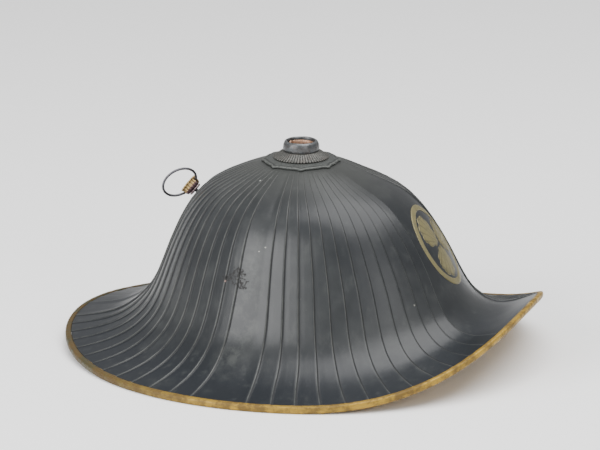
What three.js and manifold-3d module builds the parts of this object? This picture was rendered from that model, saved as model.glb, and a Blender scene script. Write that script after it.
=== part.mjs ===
// A jingasa: a lacquered war hat with a bell-shaped crown, lapped radial ribs and a wide brim that
// lifts at the front. Millimetres, +X to the front, +Y to the wearer's left, +Z up. The hat stands
// on the two low sides of its brim, and the origin lies on that surface, under the middle of the hat.
import * as THREE from 'three';
import { ParametricGeometry } from 'three/addons/geometries/ParametricGeometry.js';
import { mergeVertices } from 'three/addons/utils/BufferGeometryUtils.js';
import Module from 'manifold-3d';

// Reach of the brim's outer edge from the crown's axis
const REACH_FRONT = 185.5;
const REACH_BACK = 183.5;
const HALF_WIDTH = 171;

// Heights of the shell's outer face
const CROWN_HEIGHT = 148;
const FRONT_RISE = 45;
const BACK_RISE = 8;

// Walls and running gaps
const WALL = 3;
const GAP = 0.3;

// The brim's front is fuller than an ellipse by this share, with this power of the cosine
const FRONT_FULLNESS = 0.055;
const FULLNESS_POWER = 5;

// How the brim's edge leaves its flat sides: the flat share of each half and the curve's power
const FLAT_FRONT = 0.15;
const FLAT_BACK = 0.4;
const RISE_POWER = 2.9;

// Lapped ribs: each segment rises to a lip at its front side and drops to the next one
const RIB_HEIGHT = 1.2;
const RIBS_PER_ZONE = 12;
const DROP_ANGLE = 0.4;
const LIP_ANGLE = 3;

// Plain panels between the ribbed zones, in degrees round the crown from the front
const FRONT_PANEL_HALF = 19.2;
const SIDE_PANEL_CENTRE = 92.6;
const SIDE_PANEL_HALF = 7;
const BACK_PANEL_HALF = 6.5;
const BACK_PANEL_TURN = 3.1;
const FRONT_PANEL_STEPS = 4;

// Gold-lacquered roll round the brim's edge
const RIM_WIDTH = 4.5;
const RIM_HEIGHT = 5.5;
const RIM_LIP = 0.5;
const RIM_FRONT_SLOPE = 0.45;
const RIM_COLUMNS = 88;

// Crown fitting: a lobed plate, a fluted collar and a short open tube with a copper liner
const SPIGOT_RADIUS = 11.6;
const SPIGOT_BELOW = 2;
const PLATE_FLAT_RADIUS = 27;
const PLATE_LOBES = 8;
const PLATE_LOBE_REACH = 1;
const PLATE_LOBE_POWER = 12;
const PLATE_THICKNESS = 1.6;
const PLATE_STEPS = 8;
const COLLAR_FOOT_RADIUS = 21.5;
const COLLAR_TOP_RADIUS = 14.4;
const COLLAR_HEIGHT = 5.2;
const COLLAR_FLUTES = 40;
const COLLAR_FLUTE_DEPTH = 0.8;
const TUBE_RADIUS = 13.9;
const TUBE_LIP_RADIUS = 12.6;
const TUBE_BORE = 10.5;
const TUBE_HEIGHT = 7.6;
const LINER_WALL = 0.8;
const LINER_BELOW_LIP = 2;
const LINER_LENGTH = 12;

// Badge ring: a loose wire ring through a gilt boss, pinned to the back panel over a washer
const BADGE_STATION = 3.36;
const PIN_RADIUS = 1.4;
const PIN_HEAD_RADIUS = 3;
const PIN_HEAD_THICKNESS = 1.2;
const PIN_HEAD_STAND = 0.8;
const WASHER_STAND = 2.2;
const WASHER_RADIUS = 5.6;
const WASHER_THICKNESS = 1.5;
const WASHER_PETALS = 12;
const BOSS_RADIUS = 7.9;
const BOSS_PETALS = 16;
const BOSS_PETAL_DEPTH = 0.08;
const BOSS_BACK_RADIUS = 6.3;
const BOSS_WAIST_RADIUS = 7.2;
const BOSS_HEAD_THICKNESS = 1.2;
const HEAD_ABOVE_RING_AXIS = 3;
const RING_AXIS_ABOVE_BACK = 2.8;
const RING_RADIUS = 13.6;
const RING_WIRE = 0.95;
const RING_SEAT = 1.1;
const RING_REST_SWING = 48;

// Sections of the shell from the crown hole to the brim's edge. front, back and side are shares of
// the way from the hole to the edge, height is the share of the crown's height above the edge,
// frontRise and backRise are shares of FRONT_RISE and BACK_RISE, and rib is the share of RIB_HEIGHT.
const SECTIONS = [
  { front: 0.0, back: 0.0, side: 0.0, height: 1.0, frontRise: 0.0, backRise: 0.0, rib: 0.0 },
  { front: 0.13, back: 0.125, side: 0.135, height: 0.985, frontRise: 0.0, backRise: 0.0, rib: 0.0 },
  { front: 0.26, back: 0.265, side: 0.265, height: 0.905, frontRise: -0.01, backRise: 0.1, rib: 0.55 },
  { front: 0.42, back: 0.39, side: 0.4, height: 0.83, frontRise: 0.02, backRise: 0.1, rib: 0.8 },
  { front: 0.535, back: 0.485, side: 0.5, height: 0.65, frontRise: 0.1, backRise: 0.3, rib: 0.95 },
  { front: 0.635, back: 0.56, side: 0.575, height: 0.41, frontRise: 0.24, backRise: 0.7, rib: 1.0 },
  { front: 0.71, back: 0.62, side: 0.66, height: 0.19, frontRise: 0.31, backRise: 1.1, rib: 1.0 },
  { front: 0.845, back: 0.785, side: 0.81, height: 0.05, frontRise: 0.53, backRise: 0.7, rib: 0.95 },
  { front: 1.0, back: 1.0, side: 1.0, height: 0.0, frontRise: 1.0, backRise: 1.0, rib: 0.3 },
];
const LAST_STATION = SECTIONS.length - 1;
const OUTER_ROWS = 15;
const INNER_STATIONS = [8, 7, 6.5, 6, 5.5, 5, 4.5, 4, 3.7, 3.36, 3, 2, 1, 0];

// Rim section, as shares of RIM_WIDTH outwards and of RIM_HEIGHT upwards
const RIM_SECTION = [
  { out: 0.0, up: 0.95 },
  { out: 0.5, up: 1.0 },
  { out: 0.88, up: 0.88 },
  { out: 1.0, up: 0.55 },
  { out: 0.96, up: 0.2 },
  { out: 0.75, up: 0.0 },
  { out: 0.15, up: 0.0 },
  { out: 0.0, up: 0.15 },
];

// Sizes that follow from the ones above
const HOLE_RADIUS = SPIGOT_RADIUS + GAP;
const EDGE_TOP = RIM_HEIGHT - RIM_LIP;
const SHELL_FRONT = REACH_FRONT - RIM_WIDTH - GAP;
const SHELL_BACK = REACH_BACK - RIM_WIDTH - GAP;
const SHELL_SIDE = HALF_WIDTH - RIM_WIDTH - GAP;
const BADGE_ANGLE = 180 + BACK_PANEL_TURN;
const BADGE_BORE = RING_SEAT + RING_WIRE + GAP;

const wasm = await Module();
wasm.setup();

const lacquer = new THREE.MeshStandardMaterial({ color: 0x2b2c2d, roughness: 0.42, metalness: 0 });
const goldLacquer = new THREE.MeshStandardMaterial({ color: 0xa8834f, roughness: 0.5, metalness: 0.4 });
const darkMetal = new THREE.MeshStandardMaterial({ color: 0x3c4142, roughness: 0.5, metalness: 0.8 });
const tubeMetal = new THREE.MeshStandardMaterial({ color: 0x44484b, roughness: 0.4, metalness: 0.8 });
const copper = new THREE.MeshStandardMaterial({ color: 0xa5765a, roughness: 0.5, metalness: 0.9 });
const gilt = new THREE.MeshStandardMaterial({ color: 0xb08a4e, roughness: 0.4, metalness: 0.9 });
const purpleCopper = new THREE.MeshStandardMaterial({ color: 0x6b5560, roughness: 0.45, metalness: 0.9 });
const blackIron = new THREE.MeshStandardMaterial({ color: 0x202022, roughness: 0.5, metalness: 0.8 });

// One column of SECTIONS read as a uniform cubic B-spline that starts and ends on its end values.
function blend(column, station) {
  const first = Math.min(Math.floor(station), LAST_STATION - 1);
  const t = station - first;
  const at = (i) => {
    if (i < 0) return 2 * SECTIONS[0][column] - SECTIONS[1][column];
    if (i > LAST_STATION) return 2 * SECTIONS[LAST_STATION][column] - SECTIONS[LAST_STATION - 1][column];
    return SECTIONS[i][column];
  };
  const weights = [(1 - t) ** 3, 3 * t ** 3 - 6 * t ** 2 + 4, -3 * t ** 3 + 3 * t ** 2 + 3 * t + 1, t ** 3];
  return weights.reduce((sum, weight, i) => sum + (weight * at(first - 1 + i)) / 6, 0);
}

// How much of the front or back rise the brim has at an angle: none along its flat sides.
function riseShare(cosine) {
  const flat = cosine >= 0 ? FLAT_FRONT : FLAT_BACK;
  return (Math.max(0, Math.abs(cosine) - flat) / (1 - flat)) ** RISE_POWER;
}

// A point of the smooth outer face. The angle is in radians from the front towards the wearer's left.
function smoothPoint(angle, station) {
  const s = THREE.MathUtils.clamp(station, 0, LAST_STATION);
  const cosine = Math.cos(angle);
  const forward = cosine >= 0;
  const length = forward ? SHELL_FRONT : SHELL_BACK;
  const reachX = HOLE_RADIUS + (length - HOLE_RADIUS) * blend(forward ? 'front' : 'back', s);
  const reachY = HOLE_RADIUS + (SHELL_SIDE - HOLE_RADIUS) * blend('side', s);
  const rise = forward ? FRONT_RISE * blend('frontRise', s) : BACK_RISE * blend('backRise', s);
  const height = EDGE_TOP + (CROWN_HEIGHT - EDGE_TOP) * blend('height', s) + rise * riseShare(cosine);
  const brim = forward ? blend('frontRise', s) : 0;
  const full = 1 + FRONT_FULLNESS * brim * (1 - Math.abs(cosine) ** FULLNESS_POWER);
  return new THREE.Vector3(reachX * cosine * full, reachY * Math.sin(angle), height);
}

// The outward normal of the smooth outer face, from small steps along it and round it.
function smoothNormal(angle, station) {
  const step = 0.01;
  const down = smoothPoint(angle, Math.min(station + step, LAST_STATION));
  down.sub(smoothPoint(angle, Math.max(station - step, 0)));
  const round = smoothPoint(angle + step, station).sub(smoothPoint(angle - step, station));
  return down.cross(round).normalize();
}

// The station at which the outer face is a given distance from the crown's axis.
function stationAt(angle, radius) {
  let low = 0;
  let high = LAST_STATION;
  for (let i = 0; i < 30; i += 1) {
    const middle = (low + high) / 2;
    const point = smoothPoint(angle, middle);
    if (Math.hypot(point.x, point.y) < radius) low = middle;
    else high = middle;
  }
  return (low + high) / 2;
}

// The columns of one side of the shell, from the front to the back, with the rib's rise at each.
function sideColumns(backPanelEdge) {
  const columns = [];
  const add = (degrees, rise) => columns.push({ degrees, rise });
  const addZone = (from, to) => {
    for (let i = 0; i <= RIBS_PER_ZONE; i += 1) {
      const edge = from + ((to - from) * i) / RIBS_PER_ZONE;
      add(edge - DROP_ANGLE / 2, 0);
      add(edge + DROP_ANGLE / 2, 1);
    }
  };
  for (let i = 0; i < FRONT_PANEL_STEPS; i += 1) add((FRONT_PANEL_HALF * i) / FRONT_PANEL_STEPS, 0);
  addZone(FRONT_PANEL_HALF, SIDE_PANEL_CENTRE - SIDE_PANEL_HALF);
  add(SIDE_PANEL_CENTRE - SIDE_PANEL_HALF + LIP_ANGLE, 0);
  add(SIDE_PANEL_CENTRE + SIDE_PANEL_HALF / 3, 0);
  addZone(SIDE_PANEL_CENTRE + SIDE_PANEL_HALF, backPanelEdge);
  return columns;
}

// All columns of the shell: the wearer's left side, the middle of the back panel and the right side.
function shellColumns() {
  const left = sideColumns(180 - BACK_PANEL_HALF + BACK_PANEL_TURN);
  const right = sideColumns(180 - BACK_PANEL_HALF - BACK_PANEL_TURN);
  const back = [-LIP_ANGLE, 0, LIP_ANGLE].map((turn) => ({ degrees: BADGE_ANGLE + turn, rise: 0 }));
  const mirrored = right.slice(1).reverse().map(({ degrees, rise }) => ({ degrees: 360 - degrees, rise }));
  return [...left, ...back, ...mirrored];
}

// A closed surface that wraps in both directions, from a function of its column and row numbers.
function wrapped(columns, rows, place) {
  const index = (share, count) => Math.round(share * count) % count;
  const geometry = new ParametricGeometry(
    (u, v, target) => target.copy(place(index(u, columns), index(1 - v, rows))),
    columns,
    rows,
  );
  geometry.deleteAttribute('normal');
  geometry.deleteAttribute('uv');
  return mergeVertices(geometry, 1e-4);
}

// A solid of manifold-3d from a closed geometry, and a geometry from such a solid.
function toSolid(geometry) {
  const merged = geometry.clone();
  merged.deleteAttribute('normal');
  merged.deleteAttribute('uv');
  const closed = mergeVertices(merged, 1e-4);
  const vertProperties = closed.attributes.position.array;
  const triVerts = new Uint32Array(closed.index.array);
  return new wasm.Manifold(new wasm.Mesh({ numProp: 3, vertProperties, triVerts }));
}

function toGeometry(solid) {
  const { vertProperties, triVerts } = solid.getMesh();
  const geometry = new THREE.BufferGeometry();
  geometry.setAttribute('position', new THREE.BufferAttribute(vertProperties, 3));
  geometry.setIndex(new THREE.BufferAttribute(triVerts, 1));
  return geometry;
}

// A turned piece standing on +Z, from a closed profile of [radius, height] pairs.
function turned(profile, segments) {
  const points = profile.map(([radius, height]) => new THREE.Vector2(radius, height));
  return new THREE.LatheGeometry(points, segments).rotateX(Math.PI / 2);
}

// Draws the outside of a turned piece in between its petals, beyond a given radius.
function petalled(geometry, petals, depth, beyond) {
  const position = geometry.getAttribute('position');
  for (let i = 0; i < position.count; i += 1) {
    const x = position.getX(i);
    const y = position.getY(i);
    if (Math.hypot(x, y) < beyond) continue;
    const notch = 1 - Math.abs(Math.cos((petals * Math.atan2(y, x)) / 2));
    position.setXY(i, x * (1 - depth * notch), y * (1 - depth * notch));
  }
  return geometry;
}

function named(name, geometry, material) {
  const mesh = new THREE.Mesh(geometry, material);
  mesh.name = name;
  return mesh;
}

// The ribbed shell: an outer face with lapped ribs and a smooth inner face, one WALL apart.
function shellGeometry() {
  const columns = shellColumns();
  const outerStations = Array.from({ length: OUTER_ROWS + 1 }, (_, i) => (i * LAST_STATION) / OUTER_ROWS);
  const rows = outerStations.length + INNER_STATIONS.length;
  return wrapped(columns.length, rows, (column, row) => {
    const angle = THREE.MathUtils.degToRad(columns[column].degrees);
    const outer = row < outerStations.length;
    const station = outer ? outerStations[row] : INNER_STATIONS[row - outerStations.length];
    const point = smoothPoint(angle, station);
    const normal = smoothNormal(angle, station);
    if (station === 0 || station === LAST_STATION) normal.set(0, 0, 1);
    const rib = RIB_HEIGHT * columns[column].rise * blend('rib', station);
    return point.addScaledVector(normal, outer ? rib : -WALL);
  });
}

// The roll against the shell's edge. Its underside is level along the brim's flat sides.
function rimGeometry() {
  return wrapped(RIM_COLUMNS, RIM_SECTION.length, (column, row) => {
    const angle = (column / RIM_COLUMNS) * Math.PI * 2;
    const edge = smoothPoint(angle, LAST_STATION);
    const along = smoothPoint(angle + 0.01, LAST_STATION).sub(smoothPoint(angle - 0.01, LAST_STATION));
    const outward = new THREE.Vector3(along.y, -along.x, 0).normalize();
    const { out, up } = RIM_SECTION[row];
    const cosine = Math.cos(angle);
    const slope = cosine > 0 ? RIM_FRONT_SLOPE * riseShare(cosine) : 0;
    edge.addScaledVector(outward, GAP + out * RIM_WIDTH);
    edge.z += up * RIM_HEIGHT - EDGE_TOP + slope * out * RIM_WIDTH;
    return edge;
  });
}

// A point on the crown that stands a height above the shell at a distance from the axis.
function aboveCrown(angle, radius, height) {
  const station = stationAt(angle, radius);
  return smoothPoint(angle, station).addScaledVector(smoothNormal(angle, station), height);
}

// The highest the plate's top reaches at a distance from the axis, all the way round.
function plateTop(radius) {
  const heights = Array.from({ length: 24 }, (_, i) => {
    return aboveCrown((i / 24) * Math.PI * 2, radius, GAP + PLATE_THICKNESS).z;
  });
  return Math.max(...heights);
}

// The base plate follows the crown. It is a straight-sided polygon with a small lobe at each corner.
function plateGeometry() {
  const columns = PLATE_LOBES * PLATE_STEPS;
  const shares = [0, 0.5, 1];
  const rows = shares.length * 2;
  return wrapped(columns, rows, (column, row) => {
    const angle = (column / columns) * Math.PI * 2;
    const side = (Math.PI * 2) / PLATE_LOBES;
    const fromMiddle = Math.abs(angle - side * Math.round(angle / side));
    const lobe = Math.abs(Math.sin((PLATE_LOBES * angle) / 2)) ** PLATE_LOBE_POWER;
    const outline = PLATE_FLAT_RADIUS / Math.cos(fromMiddle) + PLATE_LOBE_REACH * lobe;
    const top = row < shares.length;
    const share = top ? shares[row] : shares[rows - 1 - row];
    const radius = HOLE_RADIUS + (outline - HOLE_RADIUS) * share;
    return aboveCrown(angle, radius, GAP + (top ? PLATE_THICKNESS : 0));
  });
}

// The fluted collar on the plate, and the height of its top.
function collarGeometry() {
  const foot = plateTop(COLLAR_FOOT_RADIUS) + GAP;
  const bore = plateTop(HOLE_RADIUS) + GAP;
  const top = foot + COLLAR_HEIGHT;
  const spread = COLLAR_FOOT_RADIUS - COLLAR_TOP_RADIUS;
  const profile = [
    [HOLE_RADIUS, bore],
    [COLLAR_FOOT_RADIUS, foot],
    [COLLAR_FOOT_RADIUS - spread * 0.06, foot + COLLAR_HEIGHT * 0.24],
    [COLLAR_TOP_RADIUS + spread * 0.62, foot + COLLAR_HEIGHT * 0.45],
    [COLLAR_TOP_RADIUS + spread * 0.15, foot + COLLAR_HEIGHT * 0.9],
    [COLLAR_TOP_RADIUS, top],
    [HOLE_RADIUS, top],
    [HOLE_RADIUS, bore],
  ];
  const depth = COLLAR_FLUTE_DEPTH / COLLAR_FOOT_RADIUS;
  const beyond = (HOLE_RADIUS + COLLAR_TOP_RADIUS) / 2;
  return { geometry: petalled(turned(profile, COLLAR_FLUTES * 2), COLLAR_FLUTES, depth, beyond), top };
}

// The open tube: a rounded mouth on the collar and a spigot down through the crown hole.
function tubeGeometry(collarTop) {
  const shoulder = collarTop + GAP;
  const top = shoulder + TUBE_HEIGHT;
  const bottom = CROWN_HEIGHT - WALL - SPIGOT_BELOW;
  const lipMiddle = (TUBE_LIP_RADIUS + TUBE_BORE) / 2;
  const profile = [
    [TUBE_BORE, bottom],
    [SPIGOT_RADIUS, bottom],
    [SPIGOT_RADIUS, shoulder],
    [TUBE_RADIUS - 0.4, shoulder],
    [TUBE_RADIUS, shoulder + TUBE_HEIGHT * 0.25],
    [TUBE_RADIUS - 0.3, shoulder + TUBE_HEIGHT * 0.6],
    [TUBE_LIP_RADIUS, top - TUBE_HEIGHT * 0.1],
    [lipMiddle, top],
    [TUBE_BORE, top - TUBE_HEIGHT * 0.15],
    [TUBE_BORE, bottom],
  ];
  return turned(profile, 32);
}

// The copper liner inside the tube.
function linerGeometry(collarTop) {
  const top = collarTop + GAP + TUBE_HEIGHT - LINER_BELOW_LIP;
  const outside = TUBE_BORE - GAP;
  const inside = outside - LINER_WALL;
  const bottom = top - LINER_LENGTH;
  const profile = [[inside, bottom], [outside, bottom], [outside, top], [inside, top], [inside, bottom]];
  return turned(profile, 32);
}

// Heights of the badge above the shell's face, along its own axis
const bossBack = WASHER_STAND + WASHER_THICKNESS + GAP;
const ringAxis = bossBack + RING_AXIS_ABOVE_BACK;

function pinGeometry() {
  const headTop = -WALL - PIN_HEAD_STAND;
  const headBottom = headTop - PIN_HEAD_THICKNESS;
  const top = bossBack - GAP;
  const profile = [[0, headBottom], [PIN_HEAD_RADIUS, headBottom], [PIN_HEAD_RADIUS, headTop]];
  profile.push([PIN_RADIUS, headTop], [PIN_RADIUS, top], [0, top]);
  return turned(profile, 12);
}

function washerGeometry() {
  const bore = PIN_RADIUS + GAP;
  const top = WASHER_STAND + WASHER_THICKNESS;
  const profile = [[bore, WASHER_STAND], [WASHER_RADIUS * 0.85, WASHER_STAND]];
  profile.push([WASHER_RADIUS, (WASHER_STAND + top) / 2], [WASHER_RADIUS * 0.85, top]);
  profile.push([bore, top], [bore, WASHER_STAND]);
  return petalled(turned(profile, WASHER_PETALS * 2), WASHER_PETALS, BOSS_PETAL_DEPTH, WASHER_RADIUS / 2);
}

// The gilt boss: a petalled body with a cross bore for the ring, and a face that flares over it.
function bossGeometry() {
  const brim = ringAxis + HEAD_ABOVE_RING_AXIS;
  const top = brim + BOSS_HEAD_THICKNESS;
  const profile = [
    [0, bossBack],
    [BOSS_BACK_RADIUS, bossBack],
    [BOSS_WAIST_RADIUS, ringAxis],
    [BOSS_WAIST_RADIUS, ringAxis + BADGE_BORE],
    [BOSS_RADIUS, brim],
    [BOSS_RADIUS * 0.97, brim + BOSS_HEAD_THICKNESS * 0.6],
    [BOSS_RADIUS * 0.6, top - BOSS_HEAD_THICKNESS * 0.1],
    [0, top],
  ];
  const head = petalled(turned(profile, BOSS_PETALS * 2), BOSS_PETALS, BOSS_PETAL_DEPTH, BOSS_RADIUS / 2);
  const bore = new THREE.CylinderGeometry(BADGE_BORE, BADGE_BORE, BOSS_RADIUS * 3, 12);
  bore.rotateZ(Math.PI / 2).translate(0, 0, ringAxis);
  return toGeometry(toSolid(head).subtract(toSolid(bore)));
}

// The badge's own frame: its foot on the shell, +Z along the shell's normal and +X down the back.
function badgeFrame() {
  const angle = THREE.MathUtils.degToRad(BADGE_ANGLE);
  const normal = smoothNormal(angle, BADGE_STATION);
  const down = smoothPoint(angle, BADGE_STATION + 0.01).sub(smoothPoint(angle, BADGE_STATION - 0.01));
  down.addScaledVector(normal, -down.dot(normal)).normalize();
  const across = new THREE.Vector3().crossVectors(normal, down);
  const frame = new THREE.Matrix4().makeBasis(down, across, normal);
  return frame.setPosition(smoothPoint(angle, BADGE_STATION));
}

// The pin's hole is cut through the shell along the badge's axis.
function cutPinHole(geometry, frame) {
  const radius = PIN_RADIUS + GAP;
  const hole = new THREE.CylinderGeometry(radius, radius, WALL * 4, 12).rotateX(Math.PI / 2);
  hole.applyMatrix4(frame);
  return toGeometry(toSolid(geometry).subtract(toSolid(hole)));
}

function buildBadge(frame) {
  const badge = new THREE.Group();
  frame.decompose(badge.position, badge.quaternion, badge.scale);
  badge.add(named('boss_pin', pinGeometry(), blackIron));
  badge.add(named('boss_washer', washerGeometry(), purpleCopper));
  badge.add(named('ring_boss', bossGeometry(), gilt));
  // The ring turns about the cross bore, which runs along the badge's X.
  const swing = new THREE.Group();
  swing.position.z = ringAxis;
  swing.rotation.x = THREE.MathUtils.degToRad(-RING_REST_SWING);
  const ring = named('badge_ring', new THREE.TorusGeometry(RING_RADIUS, RING_WIRE, 8, 28), blackIron);
  ring.position.z = RING_RADIUS - RING_SEAT;
  ring.rotation.x = Math.PI / 2;
  swing.add(ring);
  badge.add(swing);
  return badge;
}

function buildCrownFitting() {
  const fitting = new THREE.Group();
  const collar = collarGeometry();
  fitting.add(named('base_plate', plateGeometry(), darkMetal));
  fitting.add(named('fluted_collar', collar.geometry, darkMetal));
  fitting.add(named('crown_tube', tubeGeometry(collar.top), tubeMetal));
  fitting.add(named('tube_liner', linerGeometry(collar.top), copper));
  return fitting;
}

const helmet = new THREE.Group();
const badge = badgeFrame();
helmet.add(named('shell', cutPinHole(shellGeometry(), badge), lacquer));
helmet.add(named('rim_roll', rimGeometry(), goldLacquer));
helmet.add(buildCrownFitting());
helmet.add(buildBadge(badge));
helmet.position.x = (REACH_BACK - REACH_FRONT) / 2;

export default helmet;
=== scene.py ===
# %% [markdown]
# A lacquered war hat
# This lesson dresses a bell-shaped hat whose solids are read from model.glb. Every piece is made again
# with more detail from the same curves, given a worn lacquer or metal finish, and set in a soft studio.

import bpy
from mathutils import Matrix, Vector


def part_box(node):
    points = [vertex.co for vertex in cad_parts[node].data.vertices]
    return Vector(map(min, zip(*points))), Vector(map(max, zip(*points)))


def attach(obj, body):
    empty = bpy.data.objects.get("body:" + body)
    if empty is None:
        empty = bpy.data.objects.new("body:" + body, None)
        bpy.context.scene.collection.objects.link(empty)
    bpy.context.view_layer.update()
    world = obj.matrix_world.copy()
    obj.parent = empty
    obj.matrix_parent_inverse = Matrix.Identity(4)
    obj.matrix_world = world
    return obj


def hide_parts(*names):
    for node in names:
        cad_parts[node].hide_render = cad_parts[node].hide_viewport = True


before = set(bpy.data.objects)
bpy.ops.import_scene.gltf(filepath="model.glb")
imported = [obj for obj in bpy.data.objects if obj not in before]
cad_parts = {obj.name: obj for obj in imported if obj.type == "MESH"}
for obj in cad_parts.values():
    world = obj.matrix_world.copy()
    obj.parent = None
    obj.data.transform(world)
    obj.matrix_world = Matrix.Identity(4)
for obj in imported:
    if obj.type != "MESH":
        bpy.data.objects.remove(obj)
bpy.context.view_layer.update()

# %% [markdown]
# The shape of the shell
# The crown and brim are one skin. It is described by nine stations from the hole in the crown to the
# edge of the brim, and read as a smooth curve, so any point of it can be asked for by its angle and
# its station. Sizes are in millimetres from the crown's axis and become metres at the end.

# %% The sizes and the stations
import functools
import math

import bmesh
import bpy
from mathutils import Matrix, Vector, noise

MM = 0.001
AXIS_X = -1.0
WALL, GAP = 3.0, 0.3
HOLE, CROWN_HEIGHT, EDGE_TOP = 11.9, 148.0, 5.0
SHELL_FRONT, SHELL_BACK, SHELL_SIDE = 180.7, 178.7, 166.2
FRONT_RISE, BACK_RISE = 45.0, 8.0
FLAT_FRONT, FLAT_BACK, RISE_POWER = 0.15, 0.4, 2.9
FRONT_FULLNESS, FULLNESS_POWER = 0.055, 5
RIB_HEIGHT = 1.2
STEP = 0.01
STATIONS = {
    "front": (0.0, 0.13, 0.26, 0.42, 0.535, 0.635, 0.71, 0.845, 1.0),
    "back": (0.0, 0.125, 0.265, 0.39, 0.485, 0.56, 0.62, 0.785, 1.0),
    "side": (0.0, 0.135, 0.265, 0.4, 0.5, 0.575, 0.66, 0.81, 1.0),
    "height": (1.0, 0.985, 0.905, 0.83, 0.65, 0.41, 0.19, 0.05, 0.0),
    "front_rise": (0.0, 0.0, -0.01, 0.02, 0.1, 0.24, 0.31, 0.53, 1.0),
    "back_rise": (0.0, 0.0, 0.1, 0.1, 0.3, 0.7, 1.1, 0.7, 1.0),
    "rib": (0.0, 0.0, 0.55, 0.8, 0.95, 1.0, 1.0, 0.95, 0.3),
}
LAST = len(STATIONS["front"]) - 1
print("stations:", LAST + 1)


# %% A point and a normal of the skin
@functools.lru_cache(maxsize=None)
def station_value(column, station):
    """One column read as a uniform cubic B-spline that starts and ends on its end values."""
    values = STATIONS[column]
    first = min(int(station), LAST - 1)
    t = station - first
    extended = (2 * values[0] - values[1],) + values + (2 * values[-1] - values[-2],)
    a, b, c, d = extended[first:first + 4]
    total = a * (1 - t) ** 3 + b * (3 * t ** 3 - 6 * t ** 2 + 4)
    return (total + c * (-3 * t ** 3 + 3 * t ** 2 + 3 * t + 1) + d * t ** 3) / 6


def rise_share(cosine):
    """How much of the front or back rise the brim has: none along its flat sides."""
    flat = FLAT_FRONT if cosine >= 0 else FLAT_BACK
    return (max(0.0, abs(cosine) - flat) / (1 - flat)) ** RISE_POWER


def skin_point(angle, station):
    station = round(min(max(station, 0.0), float(LAST)), 6)
    cosine = math.cos(angle)
    forward = cosine >= 0
    length = SHELL_FRONT if forward else SHELL_BACK
    reach_x = HOLE + (length - HOLE) * station_value("front" if forward else "back", station)
    reach_y = HOLE + (SHELL_SIDE - HOLE) * station_value("side", station)
    if forward:
        brim = station_value("front_rise", station)
        reach_x *= 1 + FRONT_FULLNESS * brim * (1 - cosine ** FULLNESS_POWER)
        rise = FRONT_RISE * brim
    else:
        rise = BACK_RISE * station_value("back_rise", station)
    height = EDGE_TOP + (CROWN_HEIGHT - EDGE_TOP) * station_value("height", station)
    return Vector((reach_x * cosine, reach_y * math.sin(angle), height + rise * rise_share(cosine)))


def skin_normal(angle, station):
    down = skin_point(angle, station + STEP) - skin_point(angle, station - STEP)
    around = skin_point(angle + STEP, station) - skin_point(angle - STEP, station)
    return down.cross(around).normalized()


def placed(point):
    """Millimetres from the crown's axis become metres in the model's own frame."""
    return Vector((point.x + AXIS_X, point.y, point.z)) * MM


def around_noise(angle, scale, height):
    """Noise that closes on itself round the crown's axis."""
    return noise.noise(Vector((scale * math.cos(angle), scale * math.sin(angle), height)))


def halved(low, high, rounds, short_of):
    """Two values close to where short_of stops being true, found by halving."""
    for _ in range(rounds):
        middle = (low + high) / 2
        if short_of(middle):
            low = middle
        else:
            high = middle
    return low, high


print("top of the skin (m):", [round(c, 4) for c in placed(skin_point(0, 0))])

# %% [markdown]
# Bending a sheet into a closed piece
# A flat grid is a good start for anything that follows the skin. Its columns and rows are numbered,
# each vertex is sent to its place, and where the ends meet they are merged. Values that a finish
# needs later, such as how deep a vertex lies in a groove, are stored on the vertices.

# %% Helpers for pieces
# Vertices this close together are merged: in metres for sheets, in millimetres for turned shapes.
SHEET_MERGE, TURN_MERGE, RING_MERGE = 1e-7, 1e-6, 1e-5


def wrapped_sheet(columns, rows, place, values=()):
    """A grid that closes on itself both ways. place gives a point and its values."""
    bm = bmesh.new()
    layers = {name: bm.verts.layers.float.new(name) for name in values}
    bmesh.ops.create_grid(bm, x_segments=columns, y_segments=rows, size=0.5)
    for vert in bm.verts:
        column = round((vert.co.x + 0.5) * columns) % columns
        row = round((vert.co.y + 0.5) * rows) % rows
        point, found = place(column, row)
        vert.co = point
        for name, layer in layers.items():
            vert[layer] = found[name]
    bmesh.ops.remove_doubles(bm, verts=bm.verts, dist=SHEET_MERGE)
    bmesh.ops.recalc_face_normals(bm, faces=bm.faces)
    return bm


def turned_shape(profile, steps):
    """A profile of (radius, height) pairs in millimetres, spun once round Z."""
    bm = bmesh.new()
    verts = [bm.verts.new((radius, 0, height)) for radius, height in profile]
    edges = [bm.edges.new(pair) for pair in zip(verts, verts[1:])]
    bmesh.ops.spin(bm, geom=verts + edges, cent=(0, 0, 0), axis=(0, 0, 1),
                   angle=2 * math.pi, steps=steps, use_merge=True)
    bmesh.ops.remove_doubles(bm, verts=bm.verts, dist=TURN_MERGE)
    bmesh.ops.recalc_face_normals(bm, faces=bm.faces)
    return bm


def make_piece(name, bm, finishes, body, node, sharp=50):
    """A finished object at the origin, riding on a body, smooth but for edges over sharp degrees.

    node is the solid it stands for, or None for what lies on top of another piece.
    """
    for edge in bm.edges:
        edge.smooth = edge.calc_face_angle(0.0) < math.radians(sharp)
    mesh = bpy.data.meshes.new(name)
    bm.to_mesh(mesh)
    bm.free()
    mesh.polygons.foreach_set("use_smooth", [True] * len(mesh.polygons))
    for finish in finishes:
        mesh.materials.append(finish)
    piece = bpy.data.objects.new(name, mesh)
    bpy.context.collection.objects.link(piece)
    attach(piece, body)
    if node:
        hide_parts(node)
    print(name, "faces:", len(mesh.polygons))


def drawn_in(vert, share):
    """Moves a vertex to a share of its distance from Z."""
    vert.co.x *= share
    vert.co.y *= share


def valley_at(vert, count):
    """0 on the crown of each of count flutes or petals round Z, 1 between two of them."""
    return 1 - abs(math.cos(count * math.atan2(vert.co.y, vert.co.x) / 2))


# %% [markdown]
# Writing finishes as sums
# A finish is a small network of nodes. It reads better when an output can be added and multiplied like
# a number, so one class wraps an output, and one method makes any other node.


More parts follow.
